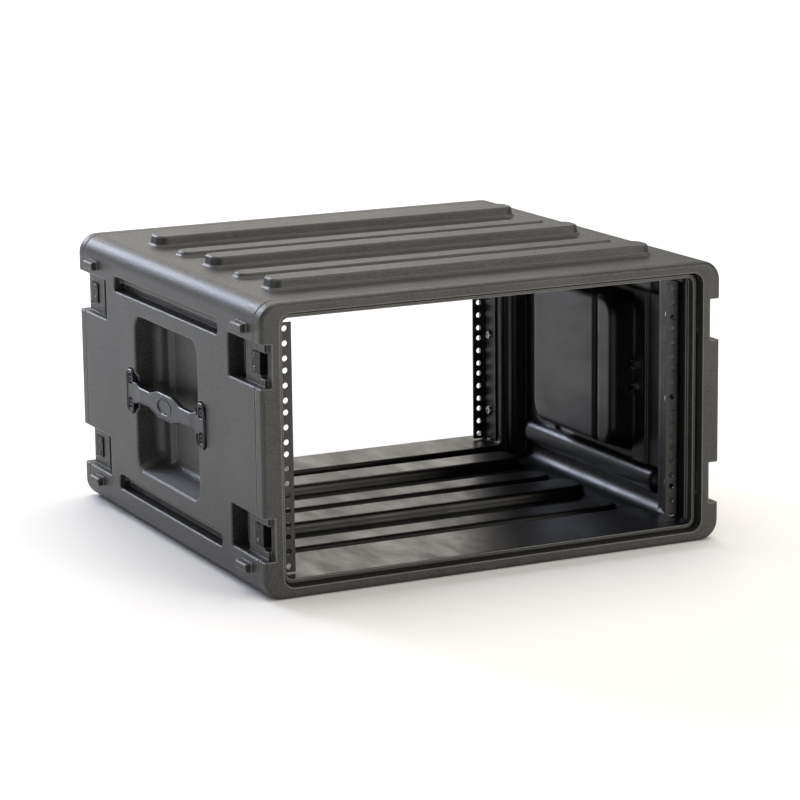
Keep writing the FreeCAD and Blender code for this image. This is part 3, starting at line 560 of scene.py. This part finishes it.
# ------------------------------------------------------------------ sub-assemblies
@dataclass
class Shell:
    """The moulded shell, pebbled outside and smooth inside, and the seals in its end faces.

    Attributes:
        finishes: the case's finishes.
        passage: half width, lowest and highest height of the openings through the collars, metres.
        cavity: half width and half length of the space between the collars, metres.
        lip: distance from the middle to the set-back inner lip of each end, metres.
        floor_band: lowest and highest height of the inner floor and its ridges, metres.
        roof: height above which the inner roof lies, metres.
        lean: how far a normal leans inwards before its face counts as an inner one.
        upright: the range of normal Z of the ridges' flanks.
    """

    finishes: Finishes
    passage: tuple[float, float, float] = (0.2426, 0.0174, 0.2956)
    cavity: tuple[float, float] = (0.2686, 0.189)
    lip: float = 0.2535
    floor_band: tuple[float, float] = (0.0055, 0.030)
    roof: float = 0.283
    lean: float = 0.04
    upright: tuple[float, float] = (-0.01, 0.9)

    def inside(self, centres: np.ndarray, normals: np.ndarray) -> np.ndarray:
        """Tell which faces belong to the inner skin.

        A face is inner if it lies in the passage through the collars behind the lips, or lies in
        the cavity and looks towards the middle: sideways, down from the roof or up from the floor.
        The upright flanks of the floor ridges are inner too. The inner skin is painted darker, as shade.

        Args:
            centres: face centres.
            normals: face normals.

        Returns:
            One truth value for each face.
        """
        x, y, z = np.abs(centres[:, 0]), np.abs(centres[:, 1]), centres[:, 2]
        rise = normals[:, 2]
        in_width = x < self.passage[0]
        in_band = (z > self.floor_band[0]) & (z < self.floor_band[1])
        towards_middle = normals[:, 0] * np.sign(centres[:, 0]) < -self.lean
        from_floor = in_band & (rise > self.lean)
        from_roof = (z > self.roof) & (rise < -self.lean)
        in_passage = in_width & (z > self.passage[1]) & (z < self.passage[2]) & (y < self.lip)
        in_cavity = (x < self.cavity[0]) & (y < self.cavity[1]) & (towards_middle | from_floor | from_roof)
        flanks = in_band & (rise > self.upright[0]) & (rise < self.upright[1])
        return in_passage | in_cavity | (flanks & in_width & (y < self.cavity[1]))

    def moulding(self) -> bpy.types.Object:
        """The shell with its two skins: a copy of the node's mesh with a finish for each face.

        Returns:
            The new object.
        """
        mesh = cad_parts["case_shell"].data.copy()
        mesh.name = "shell_moulding"
        made = bpy.data.objects.new("shell_moulding", mesh)
        bpy.context.scene.collection.objects.link(made)
        mesh.materials.clear()
        mesh.materials.append(self.finishes.shell)
        mesh.materials.append(self.finishes.inner_skin)
        count = len(mesh.polygons)
        centres = np.zeros(count * 3)
        normals = np.zeros(count * 3)
        mesh.polygons.foreach_get("center", centres)
        mesh.polygons.foreach_get("normal", normals)
        # Inner faces get the darker finish: painted shade inside the case.
        skin = self.inside(centres.reshape(-1, 3), normals.reshape(-1, 3))
        mesh.polygons.foreach_set("material_index", skin.astype(np.int32))
        mesh.update()
        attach(made, "case")
        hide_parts("case_shell")
        LOG.info("shell triangles: %d", count)
        return made

    def build(self) -> list[str]:
        """Make the shell and dress its seals.

        Returns:
            The names of the pieces.
        """
        names = [self.moulding().name]
        for end in End:
            name = f"rim_seal_{end.label}"
            dress(name, self.finishes.seal)
            names.append(name)
        return names


@dataclass
class Rails:
    """The four rack rails with their screws and inserts."""

    finishes: Finishes

    def build(self) -> list[str]:
        """Dress the rails and their fasteners.

        Returns:
            The names of the pieces.
        """
        names = []
        for side in Side:
            for end in End:
                place = f"{end.label}_{side.label}"
                for name, material in ((f"rail_{place}", self.finishes.powder),
                                       (f"rail_screws_{place}", self.finishes.zinc),
                                       (f"rail_inserts_{place}", self.finishes.brass)):
                    dress(name, material)
                    names.append(name)
        return names


GRIP_ROWS = 150          # rows of points from the strap's centre to its root
ROOT_ROWS = 8            # rows in the root
PLATE_ROWS = 70          # rows along the end plate
ROW_GAP = 0.5            # gap between the grip's last row and the root's first, millimetres
STEP_GAP = 0.02          # length over which the root steps out to the plate, millimetres
CORNER_POINTS = 6        # points round one corner of the section
FACE_POINTS = 90         # points across the outer face
BACK_STEP = 6            # the back has one point for this many of the outer face


@dataclass(frozen=True)
class StrapRelief:
    """What stands up from a strap's outer face, or is sunk in it. Sizes in millimetres.

    Attributes:
        bead: height, width and distance from the outline of the round bead along the edge.
        crown: height of the crown along the neck.
        crown_ends: distances from the strap's centre over which the crown dies out.
        ring: height, width and half height of the plain oval ring at the centre.
        ring_stretch: the ring's length over its height.
        ring_sink: depth of the face inside the ring.
        ring_sink_edge: half heights between which the face sinks.
        recess_half: half width and half height of a screw recess.
        recess_round: corner radius of a recess.
        recess_depth: depth of a recess.
        recess_wall: half width of the slope of a recess's wall.
        rim: height, width and distance from the recess of the rim round it.
    """

    bead: tuple[float, float, float] = (0.95, 1.0, 1.7)
    crown: float = 0.7
    crown_ends: tuple[float, float] = (90.0, 70.0)
    ring: tuple[float, float, float] = (0.6, 0.7, 9.2)
    ring_stretch: float = 2.2
    ring_sink: float = 0.7
    ring_sink_edge: tuple[float, float] = (8.8, 7.8)
    recess_half: tuple[float, float] = (4.4, 5.6)
    recess_round: float = 2.4
    recess_depth: float = 3.6
    recess_wall: float = 0.5
    rim: tuple[float, float, float] = (0.35, 0.5, 1.0)


def ridge(shape: tuple[float, float, float], distance: np.ndarray) -> np.ndarray:
    """A round ridge: height h times exp(-((distance - place) / width)^2).

    Args:
        shape: height, width and place of the ridge.
        distance: the distances at which it is wanted.

    Returns:
        The ridge's height at each distance.
    """
    height, width, place = shape
    return height * np.exp(-((distance - place) / width) ** 2)


@dataclass
class StrapHandles:
    """The two strap handles with their screws, washers, nuts and backing plates. Sizes in millimetres.

    Attributes:
        finishes: the case's finishes.
        outside: X of the strap's outer face.
        thickness: the strap's thickness.
        middle: height of the strap's centre line.
        neck_end: distance from the strap's centre to its end plate.
        plate_width: width of the end plate along the strap.
        plate_half: half height of the end plate.
        plate_round: corner radius of the end plate.
        screw_rise: height of a screw above the centre line.
        neck_half: half height of the neck.
        swell: extra half height of the grip.
        swell_span: distances from the centre between which the swell grows.
        flare: extra half height at the plate.
        flare_start: distance from the centre where the flare begins.
        section_round: corner radius of the strap's section.
        grip_end: distance from the centre where the grip's rows of points end and the root's begin.
        relief_shape: sizes of the relief.
    """

    finishes: Finishes
    outside: float = 276.0
    thickness: float = 5.6
    middle: float = 156.5
    neck_end: float = 93.0
    plate_width: float = 21.0
    plate_half: float = 25.0
    plate_round: float = 8.0
    screw_rise: float = 13.75
    neck_half: float = 9.2
    swell: float = 5.8
    swell_span: tuple[float, float] = (48.0, 16.0)
    flare: float = 3.6
    flare_start: float = 72.0
    section_round: float = 1.6
    grip_end: float = 88.0
    relief_shape: StrapRelief = StrapRelief()

    def half_height(self, along: np.ndarray) -> np.ndarray:
        """Half height of the strap at each distance from its centre.

        The neck's half height plus a smooth swell towards the grip and a flare towards the plate;
        the plate is a straight bar whose corners follow a circle.

        Args:
            along: distances from the strap's centre.

        Returns:
            The half heights.
        """
        neck = (self.neck_half + self.swell * smooth(*self.swell_span, along)
                + self.flare * smooth(self.flare_start, self.neck_end, along))
        stop = self.neck_end + self.plate_width
        inset = np.maximum(np.maximum(self.neck_end + self.plate_round - along,
                                      along - stop + self.plate_round), 0)
        corner = self.plate_half - self.plate_round + np.sqrt(
            np.maximum(self.plate_round ** 2 - inset ** 2, 0))
        return np.where(along >= self.neck_end, corner, neck)

    def relief(self, along: np.ndarray, height: np.ndarray, half: np.ndarray) -> np.ndarray:
        """Height of the outer face above its plane.

        A crown along the neck, a round bead inside the outline, a plain oval ring round the centre,
        and two round-cornered screw recesses in the plate. The distance to a recess is that to a
        rectangle with round corners: the hypotenuse of the two overruns less the corner radius.

        Args:
            along: distance from the strap's centre.
            height: height above the centre line.
            half: half height of the strap there.

        Returns:
            The relief in millimetres.
        """
        shape = self.relief_shape
        edge = np.minimum(half - np.abs(height), self.neck_end + self.plate_width - along)
        bead = ridge(shape.bead, edge)
        fullness = 1 - np.clip(np.abs(height) / half, 0, 1) ** 2
        crown = shape.crown * fullness * smooth(*shape.crown_ends, along)
        radius = np.hypot(along / shape.ring_stretch, height)
        ring = ridge(shape.ring, radius) - shape.ring_sink * smooth(*shape.ring_sink_edge, radius)
        centre = self.neck_end + self.plate_width / 2
        over_s = np.abs(along - centre) - shape.recess_half[0] + shape.recess_round
        over_z = np.abs(np.abs(height) - self.screw_rise) - shape.recess_half[1] + shape.recess_round
        outside = np.hypot(np.maximum(over_s, 0), np.maximum(over_z, 0)) - shape.recess_round
        recess = -shape.recess_depth * smooth(shape.recess_wall, -shape.recess_wall, outside)
        rim = ridge(shape.rim, outside) * (along > self.neck_end)
        return bead + crown + ring + recess + rim

    def half_strap(self, side: Side, end: End) -> bpy.types.Object:
        """One half of a strap, from its centre to the end of its plate.

        The section is a rectangle with round corners, carried along the strap: points a*(h - r) + dz
        across and dx through, where h is the half height there and r the corner radius. The outer
        face is lifted by the relief.

        Args:
            side: the side of the case.
            end: the end of the case that this half points to.

        Returns:
            The new object.
        """
        stop = self.neck_end + self.plate_width
        along = np.concatenate([np.linspace(0, self.grip_end, GRIP_ROWS),
                                np.linspace(self.grip_end + ROW_GAP, self.neck_end - STEP_GAP, ROOT_ROWS),
                                np.linspace(self.neck_end, stop, PLATE_ROWS)])
        half = self.half_height(along)
        radius = self.section_round
        turn = np.linspace(0, np.pi / 2, CORNER_POINTS)
        flat = np.linspace(-1, 1, FACE_POINTS)
        back = -flat[::BACK_STEP]
        upper, lower = np.ones(CORNER_POINTS), -np.ones(CORNER_POINTS)
        a = np.concatenate([flat, upper, upper, back, lower, lower])
        dz = radius * np.concatenate([flat * 0, np.sin(turn), np.cos(turn),
                                      back * 0, -np.sin(turn), -np.cos(turn)])
        top = self.thickness / 2 - radius
        dx = np.concatenate([flat * 0 + top + radius, top + radius * np.cos(turn),
                             -top - radius * np.sin(turn), back * 0 - top - radius,
                             -top - radius * np.cos(turn), top + radius * np.sin(turn)])
        across = a[None, :] * (half[:, None] - radius) + dz[None, :]
        through = np.repeat(dx[None, :], len(along), 0)
        run = np.repeat(along[:, None], len(a), 1)
        lifted = self.relief(run, across, half[:, None])
        through = through + np.where(dx[None, :] > top, lifted, 0.0)
        run = np.vstack([run[:1], run, run[-1:]])
        across = np.vstack([across[:1] * 0, across, across[-1:] * 0])
        through = np.vstack([through[:1] * 0, through, through[-1:] * 0])
        x = side.value * (self.outside - self.thickness / 2 + through)
        points = np.stack([x, end.value * run, self.middle + across], -1) * MM
        name = f"strap_{end.label}_{side.label}"
        made = surface(name, points, self.finishes.strap, wrap=True)
        close_and_orient(made)
        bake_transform(made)
        nodes = [f"handle_end_{end.label}_{side.label}"]
        if end is End.FRONT:
            nodes.append(f"handle_grip_{side.label}")
        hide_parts(*nodes)
        return made

    def build(self) -> list[str]:
        """Make the straps and dress their fasteners.

        Returns:
            The names of the pieces.
        """
        names = []
        for side in Side:
            parts = [(f"handle_screws_{side.label}", self.finishes.black_oxide),
                     (f"handle_washers_{side.label}", self.finishes.zinc),
                     (f"handle_nuts_{side.label}", self.finishes.zinc)]
            for end in End:
                names.append(self.half_strap(side, end).name)
                parts.append((f"handle_backing_plate_{end.label}_{side.label}", self.finishes.powder))
            for name, material in parts:
                dress(name, material)
                names.append(name)
        return names


@dataclass
class LatchKeepers:
    """The eight latch keepers and their rivets."""

    finishes: Finishes

    def build(self) -> list[str]:
        """Dress the keepers and the rivets.

        Returns:
            The names of the pieces.
        """
        names = []
        for side in Side:
            for end in End:
                place = f"{end.label}_{side.label}"
                for level in ("lower", "upper"):
                    name = f"latch_keeper_{place}_{level}"
                    dress(name, self.finishes.dark_steel)
                    names.append(name)
                name = f"keeper_rivets_{place}"
                dress(name, self.finishes.rivet)
                names.append(name)
        return names


@dataclass
class Studio:
    """The pale floor, the soft lights and the camera.

    Attributes:
        eye: the camera's place in metres.
        azimuth: the direction it looks in, in degrees from +Y towards +X.
        elevation: how far it looks down, in degrees.
        roll: its roll in degrees.
        lens: focal length in millimetres.
        sensor: width of the sensor in millimetres.
        floor_half: half the length of the floor's sides in metres.
        daylight: strength of the even light from all round.
    """

    eye: tuple[float, float, float] = (-1.50045, -3.11235, 0.88200)
    azimuth: float = 25.915
    elevation: float = 12.185
    roll: float = -0.681
    lens: float = 139.76
    sensor: float = 36.0
    floor_half: float = 15.0
    daylight: float = 0.30

    def camera(self) -> None:
        """Place the camera: its axes are the view direction and the turned right and up directions."""
        a, e, r = (math.radians(v) for v in (self.azimuth, self.elevation, self.roll))
        ahead = Vector((math.sin(a) * math.cos(e), math.cos(a) * math.cos(e), -math.sin(e)))
        right = Vector((math.cos(a), -math.sin(a), 0.0))
        up = right.cross(ahead)
        turned_right = right * math.cos(r) + up * math.sin(r)
        turned_up = up * math.cos(r) - right * math.sin(r)
        data = bpy.data.cameras.new("camera")
        data.lens = self.lens
        data.sensor_width = self.sensor
        data.clip_end = 50.0
        made = bpy.data.objects.new("camera", data)
        axes = Matrix((turned_right, turned_up, -ahead)).transposed()
        made.matrix_world = Matrix.Translation(Vector(self.eye)) @ axes.to_4x4()
        bpy.context.scene.collection.objects.link(made)
        bpy.context.scene.camera = made

    def area(self, name: str, place: tuple[float, float, float], target: tuple[float, float, float],
             size: tuple[float, float], power: float, colour: str) -> None:
        """Add one soft rectangular light.

        Args:
            name: the light's name.
            place: where it stands.
            target: the point it faces.
            size: its width and height.
            power: its power in watts.
            colour: its colour.
        """
        data = bpy.data.lights.new(name, "AREA")
        data.shape = "RECTANGLE"
        data.size, data.size_y = size
        data.energy = power
        data.color = linear(colour)[:3]
        made = bpy.data.objects.new(name, data)
        made.location = place
        made.rotation_mode = "QUATERNION"
        made.rotation_quaternion = (Vector(target) - Vector(place)).to_track_quat("-Z", "Y")
        bpy.context.scene.collection.objects.link(made)

    def sky_lamp(self, name: str, towards: tuple[float, float, float], strength: float, spread: float,
                 colour: str) -> None:
        """Add one very soft distant light.

        Args:
            name: the light's name.
            towards: the direction from the case to the light.
            strength: its strength.
            spread: the width of the light seen from the case, in degrees.
            colour: its colour.
        """
        data = bpy.data.lights.new(name, "SUN")
        data.energy = strength
        data.angle = math.radians(spread)
        data.color = linear(colour)[:3]
        made = bpy.data.objects.new(name, data)
        made.rotation_mode = "QUATERNION"
        made.rotation_quaternion = Vector(towards).to_track_quat("Z", "Y")
        bpy.context.scene.collection.objects.link(made)

    def floor(self) -> None:
        """Add the plain pale floor: a slightly mottled flat sheet."""
        made, tree = new_material("pale_floor")
        cloud = grain(tree, 600.0, 2.0, 0.5)
        colour = mix_colour(tree, ramp(tree, cloud, 0.3, 0.7, 0.0, 1.0), linear("f4f4f4"), linear("f7f7f7"))
        finish_surface(tree, {"Base Color": colour, "Roughness": 0.7})
        line = np.linspace(-self.floor_half, self.floor_half, 3)
        u, v = np.meshgrid(line, line, indexing="ij")
        sheet = surface("floor", np.stack([u, v, np.zeros_like(u)], -1), made)
        sheet.data.flip_normals()

    def build(self) -> list[str]:
        """Set up the studio.

        Returns:
            The names of what it made.
        """
        scene = bpy.context.scene
        scene.view_settings.view_transform = "Standard"
        world = bpy.data.worlds.new("studio")
        scene.world = world
        world.use_nodes = True
        sky = world.node_tree.nodes["Background"].inputs
        sky["Color"].default_value = linear("ffffff")
        sky["Strength"].default_value = self.daylight
        self.camera()
        self.floor()
        self.sky_lamp("overhead", (0.16, 0.20, 1.0), 2.2, 60.0, "fffaf2")
        self.area("long_edge", (-1.25, 3.6, 1.95), (-0.1, 0, 0.25), (1.2, 0.8), 88.0, "dfe8ff")
        self.area("behind", (0.8, 7.5, 2.6), (0, 0, 0.3), (7.0, 2.4), 110.0, "fff8ee")
        self.area("side_low", (-2.3, -0.5, 0.12), (-0.27, 0, 0.0), (1.4, 0.22), 6.5, "f4f7ff")
        self.area("front_soft", (1.6, -3.0, 1.0), (0, -0.26, 0.15), (1.4, 1.4), 52.0, "fff8ee")
        return ["floor", "camera", "overhead", "long_edge", "behind", "side_low", "front_soft"]


def main() -> None:
    """Build the sub-assemblies in order and report each piece."""
    logging.basicConfig(level=logging.INFO, format="%(message)s")
    finishes = Finishes()
    assemblies = (Studio(), Shell(finishes), Rails(finishes),
                  StrapHandles(finishes), LatchKeepers(finishes))
    for assembly in assemblies:
        for name in assembly.build():
            LOG.info("%s: %s", type(assembly).__name__, name)


if __name__ == "__main__":
    main()
